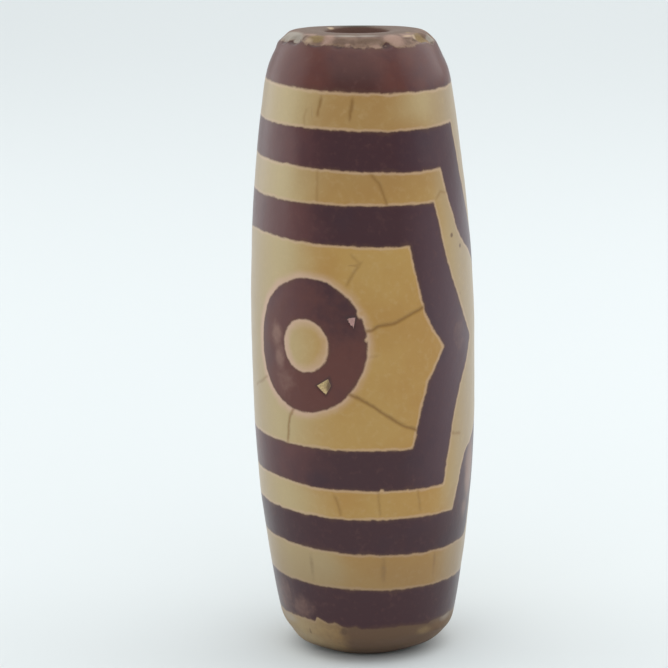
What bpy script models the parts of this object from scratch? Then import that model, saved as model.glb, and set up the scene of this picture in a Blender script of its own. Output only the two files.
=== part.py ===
"""An ancient etched-agate bead: a long barrel of stone, bored from end to end, standing on its worn foot.

Metres, +Z up along the bore, origin in the middle of the foot. The eye of its pattern faces -Y.
A turn is an angle about +Z in degrees: 0 at the eye's side, -Y, and 90 at +X.
"""
from math import cos, radians, sin, tan

import bmesh
import bpy
from mathutils import Matrix, Vector

MM = 0.001

# The barrel, from the foot's plane up to the middle of the top end
LENGTH = 37.8 * MM
BELLY_RADIUS = 6.7 * MM
BELLY_HEIGHT = 19.25 * MM
FOOT_END_RADIUS = 4.82 * MM
TOP_END_RADIUS = 5.02 * MM
LOWER_FULLNESS = 2.44
UPPER_FULLNESS = 1.89

# The foot: a flat ring, and the rounded edge that rises from it
FOOT_RADIUS = 2.83 * MM
FOOT_EDGE_HEIGHT = 1.77 * MM
FOOT_EDGE_POWER = 1.4

# The top end: a flat land round the mouth, a low dome, and its rounded edge
TOP_LAND_RADIUS = 2.75 * MM
TOP_DOME_RADIUS = 3.78 * MM
TOP_DOME_FALL = 0.16 * MM
TOP_EDGE_HEIGHT = 3.0 * MM
TOP_EDGE_POWER = 1.89

# The top end is ground a little out of square, and stands highest at this turn
TOP_SLANT = radians(3.2)
TOP_SLANT_TURN = 15.0

# The bore and its two worn mouths, which narrow into it along a curve
BORE_RADIUS = 1.1 * MM
TOP_MOUTH_RADIUS = 1.9 * MM
TOP_MOUTH_DEPTH = 2.6 * MM
FOOT_MOUTH_RADIUS = 1.7 * MM
FOOT_MOUTH_DEPTH = 2.0 * MM
MOUTH_CURVE = 2.2

# How finely the solid is drawn
SEGMENTS = 64
BARREL_ROWS = 20
EDGE_ROWS = 7
MOUTH_ROWS = 3
BORE_ROWS = 4

# A chip is a scoop of an ellipsoid this many times deeper than the chip
SCOOP_ROUNDNESS = 2.5

# Chips round the top rim: turn, drop below the outside of the dome, width, tallness and depth
RIM_CHIPS = (
    (-3.0, 0.22 * MM, 1.4 * MM, 1.0 * MM, 0.20 * MM),
    (-27.0, 0.26 * MM, 1.3 * MM, 0.8 * MM, 0.20 * MM),
    (-41.0, 0.39 * MM, 0.9 * MM, 0.6 * MM, 0.14 * MM),
    (-64.0, 0.24 * MM, 2.0 * MM, 1.0 * MM, 0.26 * MM),
    (16.0, 0.44 * MM, 0.9 * MM, 0.5 * MM, 0.12 * MM),
    (31.0, 0.39 * MM, 1.3 * MM, 0.6 * MM, 0.14 * MM),
    (52.0, 0.44 * MM, 1.0 * MM, 0.5 * MM, 0.12 * MM),
    (92.0, 0.20 * MM, 1.6 * MM, 0.9 * MM, 0.24 * MM),
    (103.0, 0.44 * MM, 0.8 * MM, 0.7 * MM, 0.18 * MM),
    (119.0, 0.29 * MM, 1.2 * MM, 0.8 * MM, 0.20 * MM),
    (148.0, 0.22 * MM, 2.2 * MM, 1.1 * MM, 0.28 * MM),
    (176.0, 0.34 * MM, 1.0 * MM, 0.7 * MM, 0.16 * MM),
    (-161.0, 0.26 * MM, 1.7 * MM, 0.9 * MM, 0.24 * MM),
    (-128.0, 0.20 * MM, 2.4 * MM, 1.1 * MM, 0.30 * MM),
    (-97.0, 0.39 * MM, 1.1 * MM, 0.7 * MM, 0.18 * MM),
)

# Chips in the ring of the eye, given by their height above the foot in place of the drop
EYE_CHIPS = (
    (24.0, 21.6 * MM, 0.6 * MM, 0.5 * MM, 0.12 * MM),
    (9.5, 17.7 * MM, 0.9 * MM, 0.8 * MM, 0.18 * MM),
)


def outward(turn):
    """The level direction that points out of the bead at this turn."""
    angle = radians(turn)
    return Vector((sin(angle), -cos(angle), 0.0))


def stone_material():
    """Tan agate with a satin gloss."""
    material = bpy.data.materials.new("agate")
    material.use_nodes = True
    shader = material.node_tree.nodes["Principled BSDF"]
    shader.inputs["Base Color"].default_value = (0.42, 0.28, 0.13, 1.0)
    shader.inputs["Roughness"].default_value = 0.28
    shader.inputs["Metallic"].default_value = 0.0
    return material


def barrel_radius(height):
    """The barrel's own curve, widest at the belly, before its ends are rounded."""
    if height > BELLY_HEIGHT:
        share = (height - BELLY_HEIGHT) / (LENGTH - BELLY_HEIGHT)
        return BELLY_RADIUS - (BELLY_RADIUS - TOP_END_RADIUS) * share**UPPER_FULLNESS
    share = (BELLY_HEIGHT - height) / BELLY_HEIGHT
    return BELLY_RADIUS - (BELLY_RADIUS - FOOT_END_RADIUS) * share**LOWER_FULLNESS


def opened(share, power):
    """How far a rounded edge has opened out: 0 at its end face, 1 where the barrel takes over."""
    return (1 - (1 - share) ** power) ** (1 / power)


def outer_radius(height):
    """The finished outside at this height, rounded edges included."""
    rim = LENGTH - TOP_DOME_FALL
    if height < FOOT_EDGE_HEIGHT:
        share = opened(height / FOOT_EDGE_HEIGHT, FOOT_EDGE_POWER)
        return FOOT_RADIUS + (barrel_radius(height) - FOOT_RADIUS) * share
    if height > rim - TOP_EDGE_HEIGHT:
        share = opened((rim - height) / TOP_EDGE_HEIGHT, TOP_EDGE_POWER)
        return TOP_DOME_RADIUS + (barrel_radius(height) - TOP_DOME_RADIUS) * share
    return barrel_radius(height)


def flared(mouth, share):
    """The radius of a mouth, from its rim at share 0 in to the bore at share 1."""
    return BORE_RADIUS + (mouth - BORE_RADIUS) * (1 - share) ** MOUTH_CURVE


def spaced(start, end, rows):
    """Heights from start to end, the start left out."""
    return [start + (end - start) * row / rows for row in range(1, rows + 1)]


def profile():
    """The turned outline as (radius, height), up the outside and down through the bore."""
    rim = LENGTH - TOP_DOME_FALL
    shoulder = rim - TOP_EDGE_HEIGHT
    heights = [FOOT_EDGE_HEIGHT * (row / EDGE_ROWS) ** 2 for row in range(EDGE_ROWS + 1)]
    heights += spaced(FOOT_EDGE_HEIGHT, shoulder, BARREL_ROWS)
    heights += [rim - TOP_EDGE_HEIGHT * (row / EDGE_ROWS) ** 2 for row in reversed(range(EDGE_ROWS))]
    points = [(FOOT_MOUTH_RADIUS, 0.0)]
    points += [(outer_radius(height), height) for height in heights]
    points += [(TOP_LAND_RADIUS, LENGTH), (TOP_MOUTH_RADIUS, LENGTH)]
    for row in range(1, MOUTH_ROWS + 1):
        share = row / MOUTH_ROWS
        points.append((flared(TOP_MOUTH_RADIUS, share), LENGTH - TOP_MOUTH_DEPTH * share))
    for height in spaced(LENGTH - TOP_MOUTH_DEPTH, FOOT_MOUTH_DEPTH, BORE_ROWS):
        points.append((BORE_RADIUS, height))
    for row in reversed(range(1, MOUTH_ROWS)):
        share = row / MOUTH_ROWS
        points.append((flared(FOOT_MOUTH_RADIUS, share), FOOT_MOUTH_DEPTH * share))
    return points


def slanted(point):
    """The point after the top end's slant, which fades out down to the foot of the top edge."""
    share = (point.z - (LENGTH - TOP_DOME_FALL - TOP_EDGE_HEIGHT)) / TOP_EDGE_HEIGHT
    share = min(max(share, 0.0), 1.0)
    lift = tan(TOP_SLANT) * point.dot(outward(TOP_SLANT_TURN)) * share
    return point + Vector((0.0, 0.0, lift))


def turned_stone(material):
    """The whole stone, turned from its profile about the bore."""
    mesh = bpy.data.meshes.new("bead")
    form = bmesh.new()
    rings = []
    for radius, height in profile():
        ring = []
        for segment in range(SEGMENTS):
            spot = outward(360 * segment / SEGMENTS) * radius + Vector((0.0, 0.0, height))
            ring.append(form.verts.new(slanted(spot)))
        rings.append(ring)
    for row, ring in enumerate(rings):
        above = rings[(row + 1) % len(rings)]
        for segment in range(SEGMENTS):
            following = (segment + 1) % SEGMENTS
            form.faces.new((ring[segment], ring[following], above[following], above[segment]))
    bmesh.ops.recalc_face_normals(form, faces=form.faces)
    form.to_mesh(mesh)
    form.free()
    mesh.shade_smooth()
    mesh.set_sharp_from_angle(angle=radians(35))
    mesh.materials.append(material)
    bead = bpy.data.objects.new("bead", mesh)
    bpy.context.scene.collection.objects.link(bead)
    return bead


def cut_chip(bead, name, turn, height, width, tallness, depth):
    """Scoops one chip out of the outside of the bead, square to its surface."""
    step = 0.02 * MM
    slope = (outer_radius(height) - outer_radius(height - step)) / step
    out = outward(turn)
    normal = (out - Vector((0.0, 0.0, slope))).normalized()
    along = Vector((0.0, 0.0, 1.0)).cross(out)
    upward = normal.cross(along)
    ball_depth = SCOOP_ROUNDNESS * depth
    spread = (1 - (1 - 1 / SCOOP_ROUNDNESS) ** 2) ** 0.5
    surface = slanted(out * outer_radius(height) + Vector((0.0, 0.0, height)))
    sizes = Matrix.Diagonal((width / 2 / spread, tallness / 2 / spread, ball_depth))
    facing = Matrix((along, upward, normal)).transposed()
    place = Matrix.Translation(surface + normal * (ball_depth - depth))
    mesh = bpy.data.meshes.new(name)
    form = bmesh.new()
    bmesh.ops.create_icosphere(form, subdivisions=2, radius=1.0)
    bmesh.ops.transform(form, matrix=place @ (facing @ sizes).to_4x4(), verts=form.verts)
    bmesh.ops.recalc_face_normals(form, faces=form.faces)
    form.to_mesh(mesh)
    form.free()
    cutter = bpy.data.objects.new(name, mesh)
    bpy.context.scene.collection.objects.link(cutter)
    cutter.hide_render = True
    cutter.display_type = "WIRE"
    cutter.parent = bead
    cut = bead.modifiers.new(name, "BOOLEAN")
    cut.operation = "DIFFERENCE"
    cut.solver = "EXACT"
    cut.object = cutter


def main():
    for existing in list(bpy.data.objects):
        bpy.data.objects.remove(existing)
    bead = turned_stone(stone_material())
    for number, (turn, drop, width, tallness, depth) in enumerate(RIM_CHIPS, 1):
        height = LENGTH - TOP_DOME_FALL - drop
        cut_chip(bead, f"rim_chip_{number}", turn, height, width, tallness, depth)
    for number, (turn, height, width, tallness, depth) in enumerate(EYE_CHIPS, 1):
        cut_chip(bead, f"eye_chip_{number}", turn, height, width, tallness, depth)


main()
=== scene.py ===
"""The looks of the ancient etched-agate bead: worn polished stone, its etched pattern, chips and cracks.

Lengths are in millimetres and are turned into metres where meshes, lights and the camera are made. A turn is an angle
about +Z in degrees: 0 at the eye's side, -Y, and 90 at +X.
"""
from math import cos, pi, radians, sin, tan

import bpy
import numpy as np
from mathutils import Matrix, Vector, noise


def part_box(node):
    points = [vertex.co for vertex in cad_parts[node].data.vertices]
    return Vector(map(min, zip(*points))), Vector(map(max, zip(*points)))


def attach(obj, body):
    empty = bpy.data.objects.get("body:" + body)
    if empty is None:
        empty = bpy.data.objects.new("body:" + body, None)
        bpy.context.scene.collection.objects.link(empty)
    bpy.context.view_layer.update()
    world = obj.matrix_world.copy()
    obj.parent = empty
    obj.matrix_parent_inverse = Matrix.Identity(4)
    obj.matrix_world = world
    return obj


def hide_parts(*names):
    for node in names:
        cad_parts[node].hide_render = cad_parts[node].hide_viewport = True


MM = 0.001

# The stone's form, as the frame holds it
BELLY_HEIGHT = 19.25
FOOT_END_RADIUS = 4.82
TOP_END_RADIUS = 5.02
LOWER_FULLNESS = 2.44
UPPER_FULLNESS = 1.89
FOOT_RADIUS = 2.83
FOOT_EDGE_HEIGHT = 1.77
FOOT_EDGE_POWER = 1.4
TOP_LAND_RADIUS = 2.75
TOP_DOME_RADIUS = 3.78
TOP_DOME_FALL = 0.16
TOP_EDGE_HEIGHT = 3.0
TOP_EDGE_POWER = 1.89
TOP_SLANT = tan(radians(3.2))
TOP_SLANT_TURN = 15.0
BORE_RADIUS = 1.1
TOP_MOUTH_RADIUS = 1.9
TOP_MOUTH_DEPTH = 2.6
FOOT_MOUTH_RADIUS = 1.7
FOOT_MOUTH_DEPTH = 2.0
MOUTH_CURVE = 2.2

# The land round the top mouth is worn down towards the mouth, from this radius, by this much, along this power
LIP_WEAR_RADIUS = 3.3
LIP_WEAR_DEPTH = 0.17
LIP_WEAR_POWER = 1.3

# How finely it is drawn: points round, and the rows' spacing on the ends, round the eye's chips and elsewhere
SEGMENTS = 340
END_STEP = 0.09
EYE_STEP = 0.13
BARREL_STEP = 0.26
MOUTH_STEP = 0.3
BORE_STEP = 2.4
CORNER_SMOOTHING = 3

# Where the rows lie closest: up to this far above the foot's plane, from this far below the top, and this far on
# either side of the middle of the eye's chips
FINE_FOOT_HEIGHT = 3.1
FINE_TOP_DROP = 2.3
EYE_CHIPS_HEIGHT = 19.7
EYE_CHIPS_REACH = 2.7

# At how many points each rounded edge, the barrel between them and each mouth are first worked out
EDGE_SAMPLES = 60
BARREL_SAMPLES = 200
MOUTH_SAMPLES = 30

# Unevenness of the hand-ground skin: waves for each millimetre, and their height. It starts from nothing at the foot
# and at the top land, and is whole at this height and this far out.
WAVES = ((0.12, 0.05), (0.35, 0.025), (1.1, 0.008))
UNEVEN_FROM_HEIGHT = 2.5
UNEVEN_FROM_LAND = 1.5

# Points lower than this belong to the flat foot, and aren't made uneven
FLAT_FOOT_HEIGHT = 0.05

# The camera: where it stands round the bead and above it, what it aims at, and its lens
CAMERA_TURN = 30.5
CAMERA_ELEVATION = 13.6
CAMERA_DISTANCE = 208.9
CAMERA_ROLL = -1.19
CAMERA_AIM_ASIDE = -1.72
CAMERA_AIM_HEIGHT = 19.28
FOCAL_PIXELS = 3475.0
PICTURE_PIXELS = 668
SENSOR_WIDTH = 36.0
CLIP_START = 10.0

# The light's colour, and the strength of the white surround
LIGHT_COLOUR = (0.96, 0.99, 1.0)
SURROUND_STRENGTH = 0.55

# Panels of light: turn from the camera, elevation and distance from a point on the bead's axis, that point's height,
# whether the panel faces the point or else straight down, width, tallness and brightness
PANELS = {
    "left_panel": (-110, 16, 190, BELLY_HEIGHT, True, 240, 200, 1.04),
    "right_panel": (105, 30, 170, BELLY_HEIGHT, True, 220, 140, 1.15),
    "overhead_panel": (180, 0, 120, 380, False, 640, 640, 0.37),
    "back_panel": (180, 0, 560, 300, False, 700, 400, 1.0),
    "front_panel": (0, 58, 300, BELLY_HEIGHT, True, 420, 420, 0.71),
}

# The sheet of paper: half its width, its scene-linear colour, and how rough and how shiny it is
FLOOR_REACH = 3000.0
FLOOR_COLOUR = (0.74, 0.77, 0.775)
FLOOR_ROUGHNESS = 0.9
FLOOR_SPECULAR = 0.1

# The pattern was drawn a little out of level: it sinks by this much at right angles to the camera's side
PATTERN_TILT = 0.25

# Across the pattern, a degree of turn counts as this many millimetres
ARC_PER_DEGREE = 0.1155

# The level dark bands at the ends: the lower edge of the top one, the radius at which it is worn away at each turn,
# the upper edge of the bottom one, and its wavy lower edge as turn and height
TOP_BAND_LOWER = 34.80
WORN_TOP = (
    (-180, 4.42), (-150, 4.52), (-120, 4.35), (-90, 4.46), (-60, 4.36), (-48, 4.39), (-35, 4.31), (-30, 4.24),
    (-24, 4.16), (-18, 4.3), (-14, 4.38), (-11, 4.38), (-7, 4.38), (-4, 4.27), (-1, 4.29), (2.5, 4.43),
    (6, 4.41), (9.5, 4.36), (13, 4.44), (16, 4.38), (19.5, 4.44), (22.5, 4.44), (25.5, 4.4), (28.5, 4.49),
    (31, 4.42), (34.5, 4.52), (37.5, 4.4), (40.5, 4.43), (43.5, 4.54), (46.5, 4.53), (49.5, 4.41), (52.5, 4.3),
    (55.5, 4.36), (58.5, 4.5), (61.5, 4.52), (65, 4.54), (68.5, 4.54), (72, 4.57), (76, 4.53), (80.5, 4.45),
    (86, 4.47), (91.5, 4.39), (98, 4.55), (107, 4.54), (125, 4.44), (150, 4.36), (180, 4.42),
)
FOOT_BAND_UPPER = 4.95
FOOT_BAND_LOWER = (
    (-180, 2.5), (-140, 2.42), (-100, 2.55), (-60, 2.44), (-39, 2.36), (-24, 2.46), (-8, 2.52), (-5.6, 2.5),
    (-3.8, 2.87), (-2.4, 2.74), (0.4, 2.66), (4, 2.5), (8.5, 2.64), (14, 2.42), (17, 2.36), (22, 2.5),
    (26, 2.4), (34, 2.42), (44, 2.46), (56, 2.5), (66, 2.42), (72, 2.36), (76.5, 2.5), (86, 2.5), (96, 2.54),
    (120, 2.46), (150, 2.56), (180, 2.5),
)

# Right-hand sides of the two frames, from the upper corner down to the lower one, as turn and height
OUTER_FRAME_OUTSIDE = (
    (98.5, 32.7), (99.5, 31.8), (103.0, 29.5), (108.0, 27.8), (115.0, 26.2), (125.0, 24.3), (138.0, 22.1),
    (152.0, 19.8), (146.0, 17.2), (138.0, 14.8), (128.0, 12.7), (119.0, 10.9), (113.0, 9.3), (110.0, 8.0),
    (106.0, 7.26),
)
OUTER_FRAME_INSIDE = (
    (81.0, 30.3), (83.5, 29.0), (85.5, 28.3), (88.5, 27.35), (91.0, 26.6), (95.0, 25.9), (100.0, 25.4),
    (106.0, 24.9), (113.0, 24.2), (119.0, 23.1), (124.0, 21.8), (130.0, 19.8), (127.0, 17.6), (121.0, 15.6),
    (113.0, 14.1), (104.0, 13.3), (97.5, 13.0), (95.3, 12.8), (91.3, 11.9), (87.5, 10.4), (84.7, 9.46),
)
INNER_FRAME_OUTSIDE = (
    (73.0, 28.33), (75.0, 27.4), (77.5, 26.0), (80.5, 24.7), (83.5, 23.7), (88.5, 22.5), (93.5, 21.3),
    (98.5, 20.4), (102.0, 19.8), (98.5, 19.0), (93.3, 18.0), (88.6, 17.1), (85.0, 16.1), (82.3, 15.1),
    (80.0, 13.8), (77.6, 12.6), (75.8, 11.29),
)
INNER_FRAME_INSIDE = (
    (56.0, 25.95), (58.5, 24.4), (61.5, 23.0), (63.5, 21.95), (68.5, 20.95), (76.0, 19.7), (70.5, 18.75),
    (64.5, 17.75), (61.5, 16.5), (59.0, 15.5), (57.0, 14.3), (55.5, 13.77),
)

# How the frames' level edges wander, from left to right: turn, and rise above the corners beside them
OUTER_OUTSIDE_TOP = ((-50, -0.10), (-20, -0.13), (10, -0.06), (60, -0.06))
OUTER_OUTSIDE_FOOT = (
    (-45, 0.1), (-28, 0.15), (-14, 0.1), (0, 0.03), (20, 0), (45, -0.06), (62, -0.1), (80, -0.08),
)
OUTER_INSIDE_TOP = ((-58, 0.11), (-25, 0.08), (-14, 0.12), (5, 0.05), (25, 0.05), (48, -0.05), (72, -0.07))
OUTER_INSIDE_FOOT = ((-50, 0.04), (-20, 0.02), (10, -0.03), (50, 0.02))
INNER_OUTSIDE_TOP = ((-50, -0.05), (-14, -0.06), (5, 0), (50, 0.02))
INNER_OUTSIDE_FOOT = (
    (-55, 0.1), (-30, 0.14), (-18, 0.12), (-8, 0.04), (14, -0.06), (22, 0.02), (35, -0.02), (60, -0.05),
)
INNER_INSIDE_TOP = ((-40, 0.14), (-20, 0.1), (10, 0.05), (35, 0.03), (50, -0.02))
INNER_INSIDE_FOOT = ((-40, 0), (-10, -0.03), (30, -0.03))

# The eye: turn and height of the middle, half-width, half-height and lean, of its ring and of its pupil
EYE_RING = (0.3, 20.0, 3.70, 4.03, 0.045)
EYE_PUPIL = (-0.5, 19.99, 1.52, 1.59, -0.01)

# How far outside the ring the eye's own tint starts to fade, and where it is gone
EYE_TINT_REACH = (0.25, 0.75)

# Round bites out of the edges of the dark pattern: turn, height and radius
BITES = (
    (32.3, 20.5, 0.15), (30.2, 22.1, 0.36), (62.5, 17.0, 0.12), (38.7, 11.26, 0.12), (-60.0, 11.5, 0.16),
    (150.0, 34.9, 0.18), (-150.0, 5.0, 0.2),
)

# The corners of the two angular chips in the ring of the eye, across and up, as shares of their half-size
THREE_CORNERS = ((-1.0, 0.8), (0.9, 1.0), (0.45, -1.0))
FOUR_CORNERS = ((-1.0, 0.05), (0.65, 1.0), (1.0, 0.15), (0.25, -1.0))

# The height of the top dome's outer edge, from which the chips of the rim are measured down
RIM = 37.64

# Chips: turn, height, width, tallness, depth, corners (none for a round one) and the tint of the fresh stone laid
# bare, from yellow at 0 to pinkish at 1
CHIPS = (
    (-3.0, RIM - 0.22, 1.4, 1.0, 0.20, (), 0.1),
    (-27.0, RIM - 0.26, 1.3, 0.8, 0.20, (), 0.9),
    (-41.0, RIM - 0.39, 0.9, 0.6, 0.08, (), 0.5),
    (-64.0, RIM - 0.24, 2.0, 1.0, 0.08, (), 0.4),
    (16.0, RIM - 0.44, 0.9, 0.5, 0.12, (), 0.8),
    (31.0, RIM - 0.39, 1.3, 0.6, 0.14, (), 0.7),
    (52.0, RIM - 0.44, 1.0, 0.5, 0.12, (), 0.6),
    (92.0, RIM - 0.20, 1.6, 0.9, 0.24, (), 0.1),
    (103.0, RIM - 0.44, 0.8, 0.7, 0.18, (), 0.3),
    (119.0, RIM - 0.29, 1.2, 0.8, 0.20, (), 0.9),
    (148.0, RIM - 0.22, 2.2, 1.1, 0.28, (), 0.5),
    (176.0, RIM - 0.34, 1.0, 0.7, 0.16, (), 0.3),
    (-161.0, RIM - 0.26, 1.7, 0.9, 0.24, (), 0.7),
    (-128.0, RIM - 0.20, 2.4, 1.1, 0.30, (), 0.4),
    (-97.0, RIM - 0.39, 1.1, 0.7, 0.18, (), 0.6),
    (24.3, 21.5, 0.60, 0.70, 0.12, THREE_CORNERS, 1.0),
    (9.6, 17.63, 0.88, 0.98, 0.18, FOUR_CORNERS, 0.0),
)

# A chip is a scoop of an ellipsoid this many times deeper than the chip
SCOOP_ROUNDNESS = 2.5

# How uneven a chip's outline is when round or angular, the waves of it for each millimetre, and how far outside the
# outline the distance to it is still told apart
ROUND_RAGGEDNESS = 0.35
ANGULAR_RAGGEDNESS = 0.06
RAGGED_WAVES = 1.6
CHIP_BORDER_REACH = 0.3

# Hairline cracks: how strongly each shows, then its points as turn and height
CRACKS = (
    (1.0, (31.5, 21.0), (34.5, 21.05), (38.5, 21.3), (46.5, 21.4), (54.5, 21.8), (61.5, 22.1)),
    (0.9, (21.5, 17.3), (28.5, 16.9), (35.5, 16.4), (44.5, 15.6), (50.5, 15.15), (57.5, 14.8)),
    (0.7, (-8.4, 16.0), (-10.8, 15.6), (-11.8, 15.1), (-12.0, 14.6), (-13.0, 14.0)),
    (0.5, (29.5, 25.0), (26.5, 24.6), (22.5, 23.8)),
    (0.4, (29.3, 25.0), (27.5, 25.2), (25.3, 25.5)),
    (0.5, (-28.5, 17.6), (-34.5, 17.2), (-42.5, 16.8)),
    (0.7, (7.2, 34.5), (6.2, 34.0), (5.4, 33.6)),
    (0.35, (-2.0, 33.8), (-3.5, 33.4), (-3.0, 32.9)),
    (0.8, (26.5, 34.4), (25.0, 33.4)),
    (0.4, (6.5, 30.4), (6.5, 28.6)),
    (0.6, (36.5, 30.1), (40.5, 29.6), (43.5, 28.6), (44.5, 28.2)),
    (0.45, (75.5, 28.4), (78.5, 28.7), (82.5, 28.6)),
    (0.5, (13.5, 10.9), (15.5, 10.3), (16.5, 9.8)),
    (0.4, (36.5, 11.4), (37.5, 9.8)),
    (0.4, (58.5, 11.1), (60.5, 9.8)),
    (0.5, (81.5, 14.1), (88.5, 13.9)),
    (0.3, (33.5, 19.45), (37.0, 19.5)),
    (0.6, (162.0, 24.5), (163.5, 23.6), (166.4, 23.0), (167.0, 22.0), (164.6, 20.4), (165.6, 19.3), (169.0, 17.8),
     (171.5, 17.0)),
    (0.5, (-165.0, 14.0), (-172.0, 12.5), (-178.0, 12.0)),
    (0.5, (-120.0, 30.0), (-124.0, 28.6)),
    (0.5, (-75.0, 21.5), (-84.0, 20.6), (-92.0, 20.9)),
)

# How far to either side a crack is told apart and how far it shows, and how far past its ends it fades out
CRACK_REACH = 0.5
CRACK_SHOWN = 0.45
CRACK_END_FADE = 0.3

# Where the stone is paler than its golden heart: the heart's middle turn, and how far from it paleness starts and is
# whole. The paling towards both sides is partly the stone's own tone and partly painted sheen.
HEART_TURN = 42.0
HEART_REACH = (22.0, 62.0)

# Where the heart is paler too: turn, half-width in degrees, height, half-height and share
PALE_PATCHES = ((66.0, 26.0, 34.0, 3.0, 0.6), (8.0, 28.0, 6.3, 2.6, 0.4))

# Shares of colour by turn or by height: how much painted shade darkens the tan at both sides, how red, mauve or deep
# red the dark stone is, how brown the foot is, and how warm the eye's ring is
SIDE_SHADE_TURNS = (
    (-180, 0.2), (-90, 0.2), (-58, 1), (-38, 0.7), (-20, 0), (72, 0), (96, 1), (120, 0.8), (150, 0.2),
    (180, 0.2),
)
# Redder, lighter dark bars on the left: partly the stone's own colour, partly painted light from that side
RED_TURNS = ((-180, 0.5), (-120, 0.9), (-60, 0.8), (-10, 1), (18, 0), (160, 0), (180, 0.5))
RED_HEIGHTS = ((9, 0.1), (14, 1), (27, 1), (31, 0.8))
# Mauve, lighter dark bars at the right side: partly the stone's own colour, partly painted sheen
MAUVE_HEIGHTS = ((8, 0), (12, 1), (27, 1), (30, 0.6))
MAUVE_TURNS = ((-180, 0), (50, 0), (66, 0.5), (84, 0.9), (110, 0.9), (140, 0), (180, 0))
DEEP_RED_TURNS = ((-180, 0), (6, 0), (18, 1), (36, 1), (50, 0), (180, 0))
DEEP_RED_HEIGHTS = ((33.5, 0), (34.5, 1), (35.6, 1), (37.0, 0))
BROWN_FOOT_TURNS = (
    (-180, 0.6), (-120, 0.4), (-60, 0.15), (-18, 0.15), (10, 0.5), (20, 1), (70, 1), (95, 0.7), (130, 0.4),
    (180, 0.6),
)
WARM_HEIGHTS = ((19.0, 1.0), (22.5, 0.35))

# Where the worn ends are fuller or leaner than the turned form: turn, half-width in degrees, height, half-height
# and extra radius
FULLNESS = (
    (-36.0, 36.0, 0.6, 0.75, 0.28), (-40.0, 40.0, 1.7, 0.6, -0.07), (84.0, 36.0, 0.75, 0.75, 0.34),
    (88.0, 30.0, 1.45, 0.7, 0.21), (-58.0, 30.0, 37.1, 0.6, 0.10), (115.0, 25.0, 37.0, 0.5, 0.05),
    (112.0, 28.0, 36.0, 0.8, -0.05),
)

# On the far side the land is worn lower outward: middle turn, half-width in degrees, fall for each millimetre out
# from the mouth, and how much lower the mouth's own edge is; the wear reaches this far out, and it fades in from this
# drop below the top over this height
FAR_WEAR = (-150.0, 75.0, 0.07, 0.07)
FAR_WEAR_WIDTH = 2.0
FAR_WEAR_DROP = 1.4
FAR_WEAR_FADE = 1.2

# A mark or a fade is whole out to half its own size, and gone at this many times its size
MARK_END = 1.5

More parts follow.
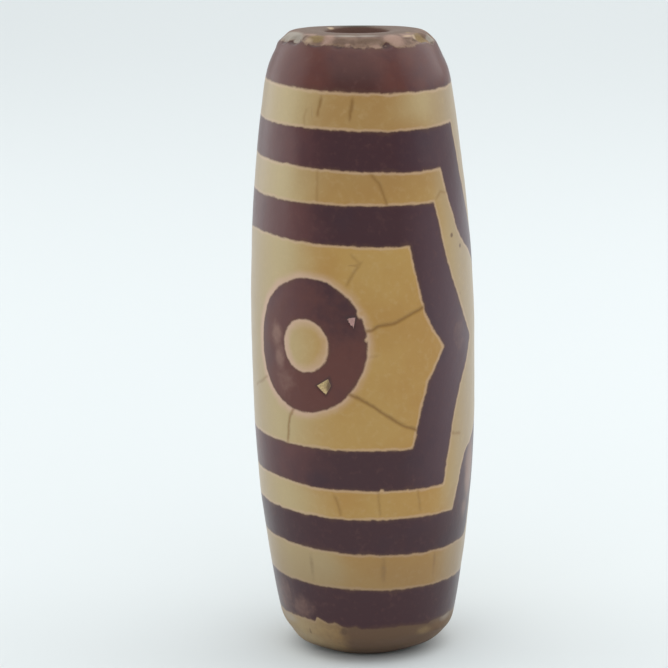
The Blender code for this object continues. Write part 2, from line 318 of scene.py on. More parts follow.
# Soft-edged marks by colour, each as turn, radius, height, half-width, half-length and strength
MARKS = {
    "bloom": ((160, 150, 138), (
        (-38.0, 4.1, 37.5, 1.35, 0.5, 1.0), (19.0, 3.66, 37.66, 0.8, 0.17, 0.7),
        (39.0, 3.66, 37.66, 0.8, 0.17, 0.7), (108.0, 4.36, 37.28, 0.5, 0.28, 0.9),
        (-160.0, 4.1, 37.5, 1.2, 0.4, 0.7), (92.0, 5.4, 2.2, 0.7, 0.3, 0.5), (-32.0, 5.35, 2.3, 0.9, 0.3, 0.5),
        (140.0, 4.0, 37.5, 0.8, 0.4, 0.6),
    )),
    "blush": ((160, 128, 112), (
        (4.5, 4.05, 37.5, 0.42, 0.6, 0.8), (23.0, 4.45, 37.2, 0.25, 0.15, 0.9),
        (43.5, 4.5, 37.1, 0.32, 0.15, 0.9), (34.5, 4.52, 37.1, 0.2, 0.12, 0.4),
        (61.0, 4.15, 37.45, 0.62, 0.55, 1.0), (77.0, 3.9, 37.6, 0.5, 0.3, 0.7),
        (-17.0, 3.7, 37.64, 0.6, 0.2, 0.6), (170.0, 4.2, 37.4, 0.9, 0.3, 0.6),
        (-100.0, 4.2, 37.4, 0.8, 0.3, 0.6),
    )),
    "ochre": ((142, 118, 80), (
        (-6.0, 4.0, 37.57, 0.5, 0.28, 1.0), (93.0, 4.2, 37.44, 0.42, 0.42, 1.0),
        (88.0, 3.5, 37.68, 0.22, 0.1, 0.9), (140.0, 4.0, 37.5, 0.8, 0.4, 0.8),
        (-95.0, 4.0, 37.5, 0.7, 0.4, 0.7), (70.0, 5.2, 1.8, 0.6, 0.3, 0.5),
    )),
    "cream": ((190, 164, 134), (
        (-11.6, 4.25, 37.4, 0.24, 0.2, 0.6), (77.0, 4.0, 37.56, 0.4, 0.1, 0.8),
        (86.0, 4.05, 37.54, 0.24, 0.14, 1.0), (-100.0, 2.0, 37.77, 0.2, 0.25, 0.9),
        (77.0, 5.38, 2.55, 0.14, 0.1, 0.8), (86.5, 5.38, 2.5, 0.12, 0.1, 0.7),
    )),
    # Stains, and painted shade on the right side of the eye's yellow chip, the last spot
    "stain_and_shade": ((92, 68, 46), (
        (-18.0, 4.11, 37.5, 0.09, 0.32, 0.8), (-8.5, 3.69, 37.65, 0.12, 0.12, 0.6),
        (-12.0, 4.0, 37.56, 0.25, 0.05, 0.6), (18.0, 4.1, 37.5, 0.25, 0.12, 0.55),
        (40.0, 4.15, 37.47, 0.75, 0.22, 0.6), (74.0, 4.18, 37.46, 0.35, 0.06, 0.8),
        (80.5, 4.3, 37.34, 0.22, 0.1, 1.0), (99.0, 4.3, 37.33, 0.06, 0.4, 0.8),
        (80.0, 3.2, 37.72, 0.8, 0.2, 0.4), (52.0, 4.38, 37.25, 0.35, 0.1, 0.7),
        (11.5, 4.48, 37.1, 0.14, 0.1, 0.8), (-6.6, 5.42, 2.76, 0.14, 0.10, 1.0),
        (14.4, 5.3, 2.2, 0.18, 0.24, 1.0), (-11.6, 5.23, 1.85, 0.09, 0.25, 0.7),
        (-3.5, 6.0, 6.2, 0.16, 0.9, 0.35), (39.5, 6.0, 6.2, 0.20, 1.0, 0.35), (72.5, 6.0, 6.2, 0.16, 0.9, 0.35),
        (170.0, 4.2, 37.4, 0.9, 0.3, 0.6), (-130.0, 4.1, 37.4, 0.7, 0.3, 0.6), (160.0, 6.0, 6.4, 0.2, 0.9, 0.4),
        (13.0, 6.68, 17.6, 0.3, 0.4, 1.0),
    )),
    # Painted shade on the far land behind the top mouth, and a dark spot on the rim at the right
    "shade_and_dark_spot": ((40, 42, 34), (
        (-149.5, 2.9, 37.7, 1.75, 1.1, 1.0), (105.0, 4.56, 37.0, 0.35, 0.12, 0.6),
    )),
}

# Where the dark pattern is faded, in the same way; the first three lighten the eye's ring on its left as a painted
# reflection
FADE_AND_REFLECTION = (
    (-19.0, 6.68, 20.4, 0.45, 0.7, 0.7), (-17.0, 6.7, 19.1, 0.4, 0.85, 0.65),
    (-13.0, 6.68, 17.7, 0.8, 0.8, 0.4), (104.0, 6.5, 11.3, 0.75, 1.7, 1.1), (100.0, 6.3, 9.0, 0.5, 0.7, 0.55),
    (-15.0, 5.55, 3.4, 1.0, 0.7, 0.45), (-34.0, 5.6, 3.7, 1.3, 1.2, 0.4), (90.0, 6.7, 20.0, 0.7, 1.0, 0.3),
)

# Pin-sized dark dots in the tan: turn, height and size, and about how far from the axis they lie
DOTS = ((85.5, 26.0, 0.09), (93.5, 25.2, 0.08), (90.5, 22.4, 0.09), (99.5, 20.8, 0.08), (-11.5, 14.0, 0.05))
DOT_RADIUS = 6.5

# The stone's colours as a display shows them, from 0 to 255; some of them stand in for painted light or shade
PALETTE = {
    "heart": (172, 130, 66),
    "light heart": (178, 140, 76),
    "upper heart": (146, 112, 70),
    "pale tan": (182, 161, 119),
    # Painted shade at both sides
    "shaded side tan": (162, 140, 114),
    "light fleck": (198, 172, 128),
    "brown fleck": (150, 110, 56),
    "halo": (198, 166, 140),
    "eye's halo": (198, 164, 142),
    # Partly painted shade low down and at the foot's edge
    "shaded lower tan": (130, 104, 74),
    "brown foot": (96, 70, 48),
    "shaded foot's edge": (92, 68, 48),
    "bar": (59, 25, 32),
    # Partly painted light and sheen on the dark bars at the sides
    "red bar": (89, 48, 47),
    "mauve bar": (82, 57, 65),
    "warm bar": (92, 47, 39),
    "deep red bar": (60, 16, 10),
    "light vein": (96, 58, 52),
    "dark cloud": (44, 26, 42),
    "fringe": (84, 54, 36),
    # Faded dark stone, and a painted reflection in the eye's ring
    "fade and reflection bar": (146, 112, 98),
    "worn": (106, 80, 66),
    "light worn": (134, 107, 90),
    "worn mouth": (108, 86, 72),
    "crack": (126, 88, 34),
    "dot": (96, 64, 44),
    # Painted shade round the chips
    "chip's shade border": (46, 26, 26),
    "yellow chip": (222, 196, 142),
    "pink chip": (190, 148, 142),
    "brown in chip": (140, 106, 74),
    # Partly painted shade in the hole
    "bore": (84, 58, 48),
}

# A distance or reach too great to matter
FAR = 9.0


def outward(turn):
    """The level direction that points out of the bead at this turn, for one turn or an array of them."""
    angle = np.radians(turn)
    return np.stack([np.sin(angle), -np.cos(angle), np.zeros_like(angle)], -1)


def turned_from(turn, middle):
    """How far round these turns lie from a middle one, from -180 to 180 degrees."""
    return (turn - middle + 180) % 360 - 180


def swell(away, reach):
    """1 where away is 0, falling smoothly to 0 at reach on either side."""
    return np.cos(np.clip(np.abs(away) / reach, 0, 1) * pi / 2) ** 2


def patch(turn, height, middle, turn_reach, level, height_reach):
    """1 at the middle of a soft patch of the skin, falling smoothly to 0 at its edges."""
    return swell(turned_from(turn, middle), turn_reach) * swell(height - level, height_reach)


def looked_up(table, places):
    """What a table of pairs gives at each of these places, straight between its rows."""
    return np.interp(places, *zip(*table))


def barrel_radius(height, length, belly_radius):
    """The barrel's own curve, widest at the belly, before its ends are rounded."""
    upper = np.clip((height - BELLY_HEIGHT) / (length - BELLY_HEIGHT), 0, None)
    lower = np.clip((BELLY_HEIGHT - height) / BELLY_HEIGHT, 0, None)
    upper_fall = (belly_radius - TOP_END_RADIUS) * upper**UPPER_FULLNESS
    return belly_radius - upper_fall - (belly_radius - FOOT_END_RADIUS) * lower**LOWER_FULLNESS


def opened(share, power):
    """How far a rounded edge has opened out: 0 at its end face, 1 where the barrel takes over."""
    share = np.clip(share, 0, 1)
    return (1 - (1 - share) ** power) ** (1 / power)


def outer_radius(height, length, belly_radius):
    """The finished outside at these heights, rounded edges included."""
    barrel = barrel_radius(height, length, belly_radius)
    foot = FOOT_RADIUS + (barrel - FOOT_RADIUS) * opened(height / FOOT_EDGE_HEIGHT, FOOT_EDGE_POWER)
    share = (length - TOP_DOME_FALL - height) / TOP_EDGE_HEIGHT
    return TOP_DOME_RADIUS + (foot - TOP_DOME_RADIUS) * opened(share, TOP_EDGE_POWER)


def resampled(radii, heights, step):
    """The same line with its points spaced by step, one or one for each piece, and its last point left out."""
    along = np.concatenate([[0], np.cumsum(np.hypot(np.diff(radii), np.diff(heights)) / step)])
    places = np.linspace(0, along[-1], max(2, round(along[-1])) + 1)[:-1]
    return np.stack([np.interp(places, along, radii), np.interp(places, along, heights)], 1)


def skin_step(height, length):
    """How far apart the rows lie at these heights: closer where there are chips and worn edges."""
    ends = (height < FINE_FOOT_HEIGHT) | (height > length - FINE_TOP_DROP)
    eye = np.abs(height - EYE_CHIPS_HEIGHT) < EYE_CHIPS_REACH
    return np.where(ends, END_STEP, np.where(eye, EYE_STEP, BARREL_STEP))


def profile(length, belly_radius):
    """Closed outline of the turned stone as rows of radius and height, and how many of them are on the skin."""
    rim = length - TOP_DOME_FALL
    edge = np.linspace(0, 1, EDGE_SAMPLES) ** 2
    middle = np.linspace(FOOT_EDGE_HEIGHT, rim - TOP_EDGE_HEIGHT, BARREL_SAMPLES)[1:-1]
    heights = np.concatenate([edge * FOOT_EDGE_HEIGHT, middle, rim - edge[::-1] * TOP_EDGE_HEIGHT])
    skin_radii = outer_radius(heights, length, belly_radius)
    skin_radii = np.concatenate([[FOOT_MOUTH_RADIUS], skin_radii, [TOP_LAND_RADIUS, TOP_MOUTH_RADIUS]])
    heights = np.concatenate([[0], heights, [length, length]])
    skin = resampled(skin_radii, heights, skin_step(heights[1:], length))
    share = np.linspace(0, 1, MOUTH_SAMPLES)
    flare = (1 - share) ** MOUTH_CURVE
    top_radii = BORE_RADIUS + (TOP_MOUTH_RADIUS - BORE_RADIUS) * flare
    top_mouth = resampled(top_radii, length - TOP_MOUTH_DEPTH * share, MOUTH_STEP)
    bore_ends = np.array([length - TOP_MOUTH_DEPTH, FOOT_MOUTH_DEPTH])
    bore = resampled(np.full(2, BORE_RADIUS), bore_ends, BORE_STEP)
    foot_radii = BORE_RADIUS + (FOOT_MOUTH_RADIUS - BORE_RADIUS) * flare[::-1]
    foot_mouth = resampled(foot_radii, FOOT_MOUTH_DEPTH * share[::-1], MOUTH_STEP)
    outline = np.concatenate([skin, top_mouth, bore, foot_mouth])
    for _ in range(CORNER_SMOOTHING):
        outline = (np.roll(outline, 1, 0) + 2 * outline + np.roll(outline, -1, 0)) / 4
    return outline, len(skin)


def slant_lift(points, length):
    """How far the out-of-square top end lifts each point."""
    foot_of_edge = length - TOP_DOME_FALL - TOP_EDGE_HEIGHT
    share = np.clip((points[..., 2] - foot_of_edge) / TOP_EDGE_HEIGHT, 0, 1)
    return TOP_SLANT * (points @ outward(TOP_SLANT_TURN)) * share


def lip_wear(radius, height, length):
    """How far the worn lip of the top mouth lies below the land."""
    share = np.clip((LIP_WEAR_RADIUS - radius) / (LIP_WEAR_RADIUS - TOP_MOUTH_RADIUS), 0, 1)
    in_mouth = np.clip((height - length + TOP_MOUTH_DEPTH) / TOP_MOUTH_DEPTH, 0, 1)
    return LIP_WEAR_DEPTH * share**LIP_WEAR_POWER * in_mouth


def wobble(points, scale, seed):
    """Smooth noise in about -1 to 1 at each point; scale is in waves for each millimetre."""
    shift = Vector((seed * 17.3, seed * -9.1, seed * 5.7))
    flat = points.reshape(-1, 3) * scale
    return np.array([noise.noise(Vector(p) + shift) for p in flat]).reshape(points.shape[:-1])


def polygon_distance(x, y, corners):
    """Signed distance to a closed outline, negative inside it."""
    best = np.full(x.shape, np.inf)
    inside = np.zeros(x.shape, bool)
    for (ax, ay), (bx, by) in zip(corners, corners[1:] + corners[:1]):
        dx, dy = bx - ax, by - ay
        share = np.clip(((x - ax) * dx + (y - ay) * dy) / (dx * dx + dy * dy), 0, 1)
        best = np.minimum(best, np.hypot(x - ax - share * dx, y - ay - share * dy))
        if ay != by:
            inside ^= ((ay > y) != (by > y)) & (x < ax + (y - ay) * dx / dy)
    return np.where(inside, -best, best)


def frame_outline(side, top, foot):
    """The closed outline of a frame, in millimetres, from its right-hand side and the rises of its level edges."""
    right = [(turn * ARC_PER_DEGREE, height) for turn, height in side]
    left = [(-x, height) for x, height in reversed(right)]
    top_edge = [(turn * ARC_PER_DEGREE, side[0][1] + rise) for turn, rise in top]
    shaded_foot_edge = [(turn * ARC_PER_DEGREE, side[-1][1] + rise) for turn, rise in reversed(foot)]
    return right + shaded_foot_edge + left + top_edge


def ellipse_distance(x, y, ellipse):
    """Signed distance, near enough close to the edge, to an upright ellipse."""
    turn, height, half_width, half_height, lean = ellipse
    dx = x - turn * ARC_PER_DEGREE
    dy = y - height - lean * dx
    reach = np.hypot(dx / half_width, dy / half_height)
    slope = np.hypot(dx / half_width**2, dy / half_height**2)
    return (reach - 1) * np.maximum(reach, 1e-6) / np.maximum(slope, 1e-6)


def ink_distance(turn, height, radius):
    """Signed distance in millimetres to the etched dark pattern, negative where the stone is dark."""
    level = height + PATTERN_TILT * np.sin(np.radians(turn - CAMERA_TURN))
    x = turn * ARC_PER_DEGREE
    edges = (
        (OUTER_FRAME_OUTSIDE, OUTER_OUTSIDE_TOP, OUTER_OUTSIDE_FOOT),
        (OUTER_FRAME_INSIDE, OUTER_INSIDE_TOP, OUTER_INSIDE_FOOT),
        (INNER_FRAME_OUTSIDE, INNER_OUTSIDE_TOP, INNER_OUTSIDE_FOOT),
        (INNER_FRAME_INSIDE, INNER_INSIDE_TOP, INNER_INSIDE_FOOT),
    )
    outer, outer_hole, inner, inner_hole = (polygon_distance(x, level, frame_outline(*edge)) for edge in edges)
    shapes = [np.maximum(outer, -outer_hole), np.maximum(inner, -inner_hole)]
    shapes.append(np.maximum(ellipse_distance(x, height, EYE_RING), -ellipse_distance(x, height, EYE_PUPIL)))
    shapes.append(np.maximum(looked_up(FOOT_BAND_LOWER, turn) - level, level - FOOT_BAND_UPPER))
    worn = np.where(level > TOP_BAND_LOWER, looked_up(WORN_TOP, turn) - radius, -FAR)
    shapes.append(np.maximum(TOP_BAND_LOWER - level, worn))
    distance = np.minimum.reduce(shapes)
    for bite_turn, bite_height, bite_radius in BITES:
        across = np.radians(turned_from(turn, bite_turn)) * radius
        distance = np.maximum(distance, bite_radius - np.hypot(across, height - bite_height))
    return distance


def marks(points, spots):
    """How strongly soft-edged oval marks show at each point, from 0 to 1."""
    shown = np.zeros(points.shape[:-1])
    for turn, radius, height, half_width, half_length, strength in spots:
        away = points - (outward(turn) * radius + [0, 0, height])
        across = away @ outward(turn + 90)
        rest = (away**2).sum(-1) - across**2
        reach = np.sqrt((across / half_width) ** 2 + rest / half_length**2)
        shown = np.maximum(shown, strength * np.clip(MARK_END - reach, 0, 1))
    return shown


def crack_marks(turn, height, radius):
    """Signed distance across the nearest crack, and how strongly it shows, at each point."""
    best = np.full(turn.shape, np.inf)
    side = np.full(turn.shape, CRACK_REACH)
    shown = np.zeros(turn.shape)
    for strength, *line in CRACKS:
        last = len(line) - 2
        for index, ((turn_a, height_a), (turn_b, height_b)) in enumerate(zip(line, line[1:])):
            x = np.radians(turned_from(turn, turn_a)) * radius
            dx, dy = np.radians(turn_b - turn_a) * radius, height_b - height_a
            size = np.hypot(dx, dy)
            along = (x * dx + (height - height_a) * dy) / size
            across = (x * dy - (height - height_a) * dx) / size
            over = np.maximum(-along, along - size)
            distance = np.hypot(across, np.maximum(over, 0))
            nearer = distance < best
            best = np.where(nearer, distance, best)
            side = np.where(nearer, across, side)
            past_end = ((index == 0) & (along < 0)) | ((index == last) & (along > size))
            fade = np.where(past_end, np.clip(1 - over / CRACK_END_FADE, 0, 1), 1)
            shown = np.where(nearer, strength * fade, shown)
    return np.clip(side, -CRACK_REACH, CRACK_REACH), np.where(best < CRACK_SHOWN, shown, 0)


def chip_facing(turn, height, length, belly_radius):
    """The middle of a chip on the stone's own outside, and the directions along, up and out of it there."""
    step = 0.02
    at, below = outer_radius(np.array([height, height - step]), length, belly_radius)
    out = outward(turn)
    normal = out - np.array([0, 0, (at - below) / step])
    normal /= np.linalg.norm(normal)
    along = np.cross([0, 0, 1], out)
    middle = out * at + [0, 0, height]
    middle[2] += slant_lift(middle, length)
    return middle, along, np.cross(normal, along), normal


def squared_reach(aside, above, corners):
    """The square of how far out each point lies, round the middle or in the shape of an angular outline."""
    if not corners:
        return aside**2 + above**2
    flats = [
        (aside * (ay - by) + above * (bx - ax)) / (ax * (ay - by) + ay * (bx - ax))
        for (ax, ay), (bx, by) in zip(corners, corners[1:] + corners[:1])
    ]
    return np.maximum.reduce(flats) ** 2


def chipped(points, length, belly_radius):
    """The points pushed in where stone is chipped away, how far each lies inside a chip's edge, and its tint."""
    within = np.full(points.shape[:-1], -CHIP_BORDER_REACH)
    tint = np.full(points.shape[:-1], 0.5)
    points = points.copy()
    spread = (1 - (1 - 1 / SCOOP_ROUNDNESS) ** 2) ** 0.5
    for turn, height, width, tallness, deep, corners, chip_tint in CHIPS:
        middle, along, upward, normal = chip_facing(turn, height, length, belly_radius)
        ball_depth = SCOOP_ROUNDNESS * deep
        away = points - (middle + normal * (ball_depth - deep))
        aside, above = away @ along / (width / 2 / spread), away @ upward / (tallness / 2 / spread)
        reach = squared_reach(aside, above, corners)
        near = (reach < 2) & (points @ outward(turn) > 0)
        raggedness = ANGULAR_RAGGEDNESS if corners else ROUND_RAGGEDNESS
        ragged = np.full(reach.shape, FAR)
        ragged[near] = reach[near] * (1 + raggedness * wobble(points[near], RAGGED_WAVES, turn))
        floor = -ball_depth * np.sqrt(np.clip(1 - ragged, 0, 1))
        cut = np.where(ragged < 1, np.clip(away @ normal - floor, 0, None), 0)
        points -= cut[..., None] * normal
        edge = (1 - np.sqrt(ragged) / spread) * min(width, tallness) / 2
        tint = np.where(edge > within, chip_tint, tint)
        within = np.maximum(within, edge)
    return points, within, tint


def worn_points(turned, turn, radius, height, on_skin, length):
    """The turned points with their slanted top, worn lip and far rim, uneven skin and fuller or leaner ends."""
    points = turned.copy()
    wear_turn, wear_reach, wear_fall, edge_drop = FAR_WEAR
    far_side = swell(turned_from(turn, wear_turn), wear_reach)
    points[..., 2] += slant_lift(points, length) - lip_wear(radius, height, length) * (1 - far_side)
    unevenness = sum(size * wobble(points, scale, number) for number, (scale, size) in enumerate(WAVES, 1))
    from_land = np.clip((radius - TOP_LAND_RADIUS) / UNEVEN_FROM_LAND, 0, 1)
    settled = np.clip(height / UNEVEN_FROM_HEIGHT, 0, 1) * from_land * on_skin
    points += outward(turn) * (unevenness * settled)[..., None]
    fuller = sum(extra * patch(turn, height, *place) for *place, extra in FULLNESS)
    points += outward(turn) * (fuller * on_skin)[..., None]
    out_from_mouth = np.clip(radius - TOP_MOUTH_RADIUS, 0, FAR_WEAR_WIDTH)
    near_top = np.clip((height - length + FAR_WEAR_DROP) / FAR_WEAR_FADE, 0, 1)
    points[..., 2] -= (wear_fall * out_from_mouth + edge_drop) * far_side * near_top
    return points


def grid_faces(rows):
    """The four corners of each face between closed rings of points, the last ring joined to the first."""
    here = np.arange(rows * SEGMENTS).reshape(rows, SEGMENTS)
    beside = np.roll(here, -1, 1)
    return np.stack([here, beside, np.roll(beside, -1, 0), np.roll(here, -1, 0)], -1).reshape(-1, 4)


def stone_values(turned, turn, height, radius, in_bore):
    """What the stone's material needs to know at each point of the turned form, by name."""
    side, strength = crack_marks(turn, height, radius)
    # Paleness grows away from the heart towards both sides: partly the stone's own tone, partly painted sheen
    pale = (np.abs(turned_from(turn, HEART_TURN)) - HEART_REACH[0]) / np.ptp(HEART_REACH)
    for *place, share in PALE_PATCHES:
        pale = np.maximum(pale, 0) + share * patch(turn, height, *place)
    from_eye = ellipse_distance(turn * ARC_PER_DEGREE, height, EYE_RING)
    in_eye = np.interp(from_eye, EYE_TINT_REACH, (1, 0))
    return {
        "ink": ink_distance(turn, height, radius),
        "crack_side": side,
        "crack_strength": strength * ~in_bore,
        "inside": in_bore * 1.0,
        "height": height,
        "radius": radius,
        **{name: marks(turned, spots) for name, (_, spots) in MARKS.items()},
        "fade_and_reflection": marks(turned, FADE_AND_REFLECTION),
        "side_shade": looked_up(SIDE_SHADE_TURNS, turn),
        "red": looked_up(RED_TURNS, turn) * looked_up(RED_HEIGHTS, height),
        "mauve": looked_up(MAUVE_TURNS, turn) * looked_up(MAUVE_HEIGHTS, height),
        "deep_red": looked_up(DEEP_RED_TURNS, turn) * looked_up(DEEP_RED_HEIGHTS, height),
        "brown_foot": looked_up(BROWN_FOOT_TURNS, turn),
        "pale": np.clip(pale, 0, 1),
        "in_eye": in_eye,
        "warm": in_eye * looked_up(WARM_HEIGHTS, height),
    }


def make_bead(length, belly_radius):
    """The stone as one dense mesh, with what its material needs to know held as values at its points."""
    outline, skin_rows = profile(length, belly_radius)
    rows = len(outline)
    radius = np.repeat(outline[:, :1], SEGMENTS, 1)
    height = np.repeat(outline[:, 1:], SEGMENTS, 1)
    turn = np.repeat((np.arange(SEGMENTS) * 360 / SEGMENTS - 180)[None], rows, 0)
    in_bore = np.repeat(np.arange(rows)[:, None] >= skin_rows, SEGMENTS, 1)
    turned = outward(turn) * radius[..., None]
    turned[..., 2] = height
    on_skin = ~in_bore & (height > FLAT_FOOT_HEIGHT) & (radius > TOP_LAND_RADIUS)
    points = worn_points(turned, turn, radius, height, on_skin, length)
    points, chip, tint = chipped(points, length, belly_radius)

    mesh = bpy.data.meshes.new("bead_stone")
    mesh.from_pydata((points.reshape(-1, 3) * MM).tolist(), [], grid_faces(rows).tolist())
    mesh.shade_smooth()
    values = stone_values(turned, turn, height, radius, in_bore)
    for name, shown in {**values, "chip": chip, "tint": tint}.items():
        mesh.attributes.new(name, "FLOAT", "POINT").data.foreach_set("value", shown.ravel().astype(np.float32))
    bead = bpy.data.objects.new("bead_stone", mesh)
    bpy.context.scene.collection.objects.link(bead)
    return bead


def linear(red, green, blue):
    """A display colour, each channel 0 to 255, as scene-linear values with full alpha."""
    shares = [channel / 255 for channel in (red, green, blue)]
    return tuple(s / 12.92 if s <= 0.04045 else ((s + 0.055) / 1.055) ** 2.4 for s in shares) + (1.0,)


def shade(name):
    """A colour of the palette, as scene-linear values."""
    return linear(*PALETTE[name])


class Graph:
    """Adds shader nodes to a material and wires them together."""

    def __init__(self, material):
        self.nodes = material.node_tree.nodes
        self.links = material.node_tree.links

    def plug(self, socket, value):
        if isinstance(value, bpy.types.NodeSocket):
            self.links.new(value, socket)
        else:
            socket.default_value = value

    def add(self, kind, inputs, output=0, **settings):
        node = self.nodes.new(kind)
        for name, value in settings.items():
            setattr(node, name, value)
        for name, value in inputs.items():
            self.plug(node.inputs[name], value)
        return node.outputs[output]

    def attribute(self, name):
        return self.add("ShaderNodeAttribute", {}, "Fac", attribute_name=name)

    def math(self, operation, first, second=0.0):
        return self.add("ShaderNodeMath", {0: first, 1: second}, operation=operation)

    def plus(self, *values):
        total = values[0]
        for value in values[1:]:
            total = self.math("ADD", total, value)
        return total

    def times(self, *values):
        total = values[0]
        for value in values[1:]:
            total = self.math("MULTIPLY", total, value)
        return total

    def ramp(self, value, start, end):
        """0 where the value is at start or before, 1 where it is at end or past, smooth between."""
        low, high, first, last = (start, end, 0.0, 1.0) if start < end else (end, start, 1.0, 0.0)
        inputs = {"Value": value, "From Min": low, "From Max": high, "To Min": first, "To Max": last}
        return self.add("ShaderNodeMapRange", inputs, interpolation_type="SMOOTHSTEP")

    def mix(self, share, first, second):
        return self.add("ShaderNodeMix", {0: share, 6: first, 7: second}, 2, data_type="RGBA")

    def layered(self, colour, *layers):
        """A colour with others laid over it in turn, each as its share and its name in the palette."""
        for share, name in layers:
            colour = self.mix(share, colour, shade(name))
        return colour

    def noise(self, place, scale, detail=3.0, roughness=0.55):
        """Noise from -0.5 to 0.5, in waves for each millimetre."""
        inputs = {"Vector": place, "Scale": scale, "Detail": detail, "Roughness": roughness}
        return self.math("SUBTRACT", self.add("ShaderNodeTexNoise", inputs), 0.5)


def stone_material():
    """Tan agate with its etched dark pattern, pale haloes, cracks, chips and worn ends."""
    material = bpy.data.materials.new("agate_stone")
    material.use_nodes = True
    g = Graph(material)
    place = g.add("ShaderNodeTexCoord", {}, "Object")
    place = g.add("ShaderNodeVectorMath", {0: place, "Scale": 1 / MM}, 0, operation="SCALE")
    height = g.attribute("height")
    cloud, coarse, medium = g.noise(place, 0.22), g.noise(place, 0.9), g.noise(place, 2.6)
    fine, grain = g.noise(place, 9.0, 2.0, 0.5), g.noise(place, 22.0, 2.0, 0.6)
    on_top = g.ramp(height, 35.9, 36.6)

    # The etched pattern's uneven edges
    ragged = g.plus(g.times(coarse, 0.15), g.times(medium, 0.15), g.times(fine, 0.05))
    ink = g.plus(g.attribute("ink"), ragged, g.times(ragged, on_top, 0.8))
    dark = g.ramp(ink, 0.08, -0.08)
    bare = g.math("SUBTRACT", 1.0, dark)
    fringe = g.ramp(g.plus(ink, g.times(coarse, 0.4)), -0.26, -0.02)
    halo = g.ramp(g.plus(ink, g.times(coarse, 0.2)), 0.22, 0.05)

    # The tan stone, its colour holding painted sheen and painted shade towards both sides and painted shade low down
    # Paler tan towards both sides: partly the stone's own tone, partly painted sheen
    pale = g.ramp(g.plus(g.attribute("pale"), g.times(cloud, 0.5)), 0.0, 1.0)
    eye_halo = g.times(g.ramp(g.plus(ink, g.times(coarse, 0.5)), 0.65, 0.1), g.attribute("in_eye"))
    brown_foot = g.ramp(g.plus(g.attribute("brown_foot"), g.times(medium, 0.5)), 0.05, 1.0)
    # Darker at the foot's lowest edge: partly painted contact shade, partly the stone's own colour
    shaded_foot_edge = g.ramp(g.plus(height, g.times(coarse, 0.6)), 1.2, 0.3)
    tan_stone = g.layered(
        shade("heart"),
        (g.ramp(cloud, -0.16, 0.16), "light heart"),
        (g.times(g.ramp(height, 25.5, 31.0), 0.5), "upper heart"),
        (pale, "pale tan"),
        # Painted shade: the tan darkened towards both sides, where less light falls
        (g.times(g.attribute("side_shade"), 0.8), "shaded side tan"),
        (g.times(g.ramp(medium, -0.02, 0.3), 0.18), "light fleck"),
        (g.times(g.ramp(fine, 0.0, 0.4), 0.12), "brown fleck"),
        (g.times(halo, 0.5), "halo"),
        (g.times(eye_halo, g.plus(0.35, g.times(pale, 0.45))), "eye's halo"),
        # Darker low on the skin: partly painted shade from the shadowed floor, partly a greyer stone near the foot
        (g.times(g.ramp(height, 10.5, 4.5), 0.5), "shaded lower tan"),
        (g.times(g.ramp(height, 3.1, 2.5), brown_foot), "brown foot"),
        (g.times(shaded_foot_edge, 0.75), "shaded foot's edge"),
    )

    # The dark stone, lighter at the left and right partly with painted light and sheen
    warm = g.plus(g.attribute("warm"), g.times(g.ramp(height, 34.0, 35.0), 0.8))
    # Faded dark stone, and a painted reflection lightening the eye's ring on its left
    fade_and_reflection = g.ramp(g.plus(g.attribute("fade_and_reflection"), g.times(medium, 0.5), g.times(coarse, 0.3)), 0.05, 1.05)
    dark_stone = g.layered(
        shade("bar"),
        (g.ramp(g.plus(g.attribute("red"), g.times(coarse, 0.5)), 0.0, 1.0), "red bar"),
        (g.attribute("mauve"), "mauve bar"),
        (g.ramp(g.plus(warm, coarse), 0.1, 1.0), "warm bar"),
        (g.times(g.attribute("deep_red"), 0.75), "deep red bar"),
        (g.times(g.ramp(medium, 0.0, 0.3), 0.25), "light vein"),
        (g.times(g.ramp(cloud, -0.02, -0.2), 0.3), "dark cloud"),
        (g.times(fringe, 0.4), "fringe"),
        (g.times(fade_and_reflection, 0.75), "fade and reflection bar"),
    )
    colour = g.mix(dark, tan_stone, dark_stone)

    # The worn stone round the top mouth
    worn_stone = g.layered(
        shade("worn"),
        (g.ramp(g.plus(coarse, g.times(medium, 0.7)), -0.25, 0.25), "light worn"),
        (g.ramp(g.attribute("radius"), 3.7, 3.3), "worn mouth"),
    )
    colour = g.mix(g.times(g.ramp(height, 36.2, 36.9), bare), colour, worn_stone)

    # Cracks and dots in the tan
    side = g.plus(g.attribute("crack_side"), g.times(coarse, 0.12), g.times(medium, 0.12), g.times(fine, 0.03))
    strength = g.attribute("crack_strength")
    breadth = g.plus(0.02, g.times(strength, 0.04), g.times(medium, 0.1))
    thin = g.ramp(g.math("SUBTRACT", g.math("ABSOLUTE", side), breadth), 0.15, -0.08)
    crack = g.times(thin, g.ramp(strength, 0.0, 0.9), bare)
    colour = g.layered(colour, (g.times(crack, 0.8), "crack"))
    for turn, dot_height, size in DOTS:
        middle = outward(turn) * DOT_RADIUS + [0, 0, dot_height]
        away = g.add("ShaderNodeVectorMath", {0: place, 1: tuple(middle)}, 1, operation="DISTANCE")
        colour = g.layered(colour, (g.times(g.ramp(away, 2.2 * size, 0.8 * size), bare, 0.8), "dot"))

    # Fresh stone in the chips, and painted shade as a darker border round them in the dark pattern
    chip_edge = g.plus(g.attribute("chip"), g.times(fine, 0.05), g.times(on_top, -0.2))
    chip = g.ramp(chip_edge, -0.02, 0.04)
    chip_shade_border = g.times(g.ramp(g.plus(chip_edge, g.times(coarse, 0.3)), -0.26, -0.04), dark)
    colour = g.layered(colour, (g.times(chip_shade_border, 0.5), "chip's shade border"))
    fresh = g.layered(
        shade("yellow chip"),
        (g.attribute("tint"), "pink chip"),
        (g.times(g.ramp(g.plus(fine, medium), -0.1, 0.25), 0.5), "brown in chip"),
    )
    colour = g.mix(g.times(chip, 0.9), colour, g.mix(on_top, fresh, worn_stone))

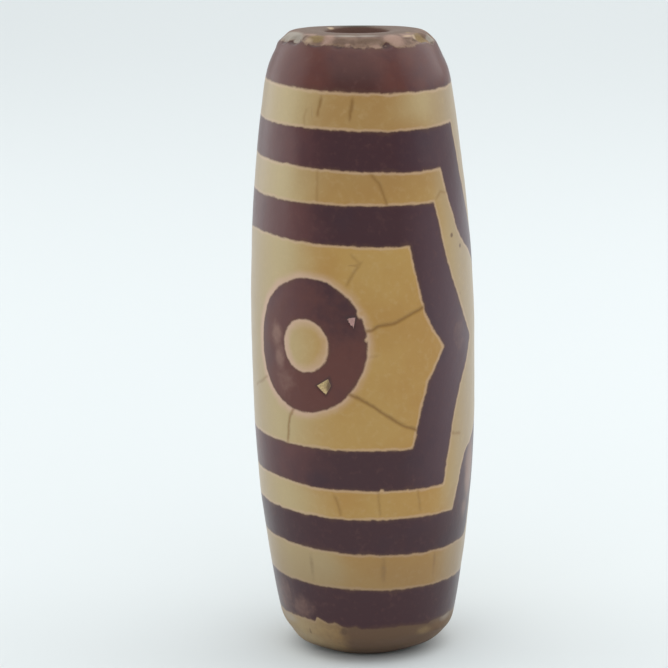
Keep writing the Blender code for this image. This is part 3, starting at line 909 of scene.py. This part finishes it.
    # Marks of other colours, some of them painted shade, and the bore, its dark colour partly painted shade
    open_stone = g.math("MAXIMUM", bare, chip)
    for name, (mark_colour, _) in MARKS.items():
        mark = g.ramp(g.plus(g.attribute(name), g.times(medium, 0.35), g.times(fine, 0.15)), 0.05, 0.95)
        colour = g.mix(g.times(mark, open_stone, 0.9), colour, linear(*mark_colour))
    inside = g.attribute("inside")
    colour = g.layered(colour, (inside, "bore"))

    # Fine relief in millimetres, and the gloss
    relief = g.plus(g.times(medium, 0.007), g.times(fine, 0.0012), g.times(grain, 0.0003), g.times(crack, -0.02))
    relief = g.plus(relief, g.times(dark, -0.004), g.times(on_top, bare, fine, 0.03), g.times(chip, fine, 0.03))
    normal = g.add("ShaderNodeBump", {"Height": g.times(relief, MM), "Strength": 1.0, "Distance": 1.0})
    worn_ends = g.times(g.plus(g.times(on_top, 0.3), g.times(g.ramp(height, 2.8, 1.6), 0.2)), bare)
    roughness = g.plus(0.31, g.times(grain, 0.08), g.times(medium, 0.08), g.times(chip, 0.2), g.times(inside, 0.3))

    shader = g.nodes["Principled BSDF"]
    g.plug(shader.inputs["Base Color"], colour)
    g.plug(shader.inputs["Roughness"], g.plus(roughness, worn_ends))
    g.plug(shader.inputs["Normal"], normal)
    shader.inputs["IOR"].default_value = 1.46
    return material


def towards(turn, elevation=0.0):
    """The direction from the bead that lies at this turn and elevation."""
    level = cos(radians(elevation))
    return Vector((sin(radians(turn)) * level, -cos(radians(turn)) * level, sin(radians(elevation))))


def make_camera():
    """The camera of the photograph."""
    data = bpy.data.cameras.new("camera")
    data.sensor_width = SENSOR_WIDTH
    data.lens = FOCAL_PIXELS * SENSOR_WIDTH / PICTURE_PIXELS
    data.clip_start = CLIP_START * MM
    camera = bpy.data.objects.new("camera", data)
    bpy.context.scene.collection.objects.link(camera)
    back = towards(CAMERA_TURN, CAMERA_ELEVATION)
    across = towards(CAMERA_TURN + 90)
    upward = back.cross(across)
    roll = radians(CAMERA_ROLL)
    right = cos(roll) * across + sin(roll) * upward
    up = cos(roll) * upward - sin(roll) * across
    aim = across * CAMERA_AIM_ASIDE + Vector((0, 0, CAMERA_AIM_HEIGHT))
    facing = Matrix((right, up, back)).transposed().to_4x4()
    camera.matrix_world = Matrix.Translation((aim + back * CAMERA_DISTANCE) * MM) @ facing
    bpy.context.scene.camera = camera


def make_softbox(name, middle, facing, width, tallness, brightness):
    """A broad soft light; brightness is what a white sheet in full light would show."""
    data = bpy.data.lights.new(name, "AREA")
    data.shape = "RECTANGLE"
    data.size = width * MM
    data.size_y = tallness * MM
    data.energy = brightness * pi * data.size * data.size_y
    data.color = LIGHT_COLOUR
    light = bpy.data.objects.new(name, data)
    bpy.context.scene.collection.objects.link(light)
    light.location = middle * MM
    light.rotation_mode = "QUATERNION"
    light.rotation_quaternion = facing.to_track_quat("-Z", "Y")
    light.visible_camera = False


def light_tent():
    """An even white surround with large panels at both sides, overhead, behind and in front."""
    for name, (turn, elevation, distance, base, faces_base, width, tallness, brightness) in PANELS.items():
        away = towards(CAMERA_TURN + turn, elevation)
        facing = -away if faces_base else Vector((0, 0, -1))
        make_softbox(name, away * distance + Vector((0, 0, base)), facing, width, tallness, brightness)
    world = bpy.data.worlds.new("tent")
    world.use_nodes = True
    background = world.node_tree.nodes["Background"]
    background.inputs["Color"].default_value = (*LIGHT_COLOUR, 1.0)
    background.inputs["Strength"].default_value = SURROUND_STRENGTH
    bpy.context.scene.world = world


def make_floor():
    """A pale seamless sheet of paper."""
    mesh = bpy.data.meshes.new("floor")
    reach = FLOOR_REACH * MM
    corners = [(-reach, -reach, 0), (reach, -reach, 0), (reach, reach, 0), (-reach, reach, 0)]
    mesh.from_pydata(corners, [], [(0, 1, 2, 3)])
    material = bpy.data.materials.new("floor_paper")
    material.use_nodes = True
    shader = material.node_tree.nodes["Principled BSDF"]
    shader.inputs["Base Color"].default_value = (*FLOOR_COLOUR, 1.0)
    shader.inputs["Roughness"].default_value = FLOOR_ROUGHNESS
    shader.inputs["Specular IOR Level"].default_value = FLOOR_SPECULAR
    mesh.materials.append(material)
    floor = bpy.data.objects.new("floor", mesh)
    bpy.context.scene.collection.objects.link(floor)


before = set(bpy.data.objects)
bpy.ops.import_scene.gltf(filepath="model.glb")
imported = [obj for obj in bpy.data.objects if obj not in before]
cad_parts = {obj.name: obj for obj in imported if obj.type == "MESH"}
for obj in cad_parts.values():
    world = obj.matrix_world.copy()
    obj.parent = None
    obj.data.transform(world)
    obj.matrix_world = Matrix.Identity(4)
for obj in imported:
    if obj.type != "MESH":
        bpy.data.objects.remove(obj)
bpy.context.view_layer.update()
low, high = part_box("bead")
bead = make_bead(high.z / MM - TOP_SLANT * TOP_LAND_RADIUS, (high.x - low.x) / 2 / MM)
bead.data.materials.append(stone_material())
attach(bead, "root")
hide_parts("bead")
make_floor()
light_tent()
make_camera()
bpy.context.scene.view_settings.view_transform = "Standard"
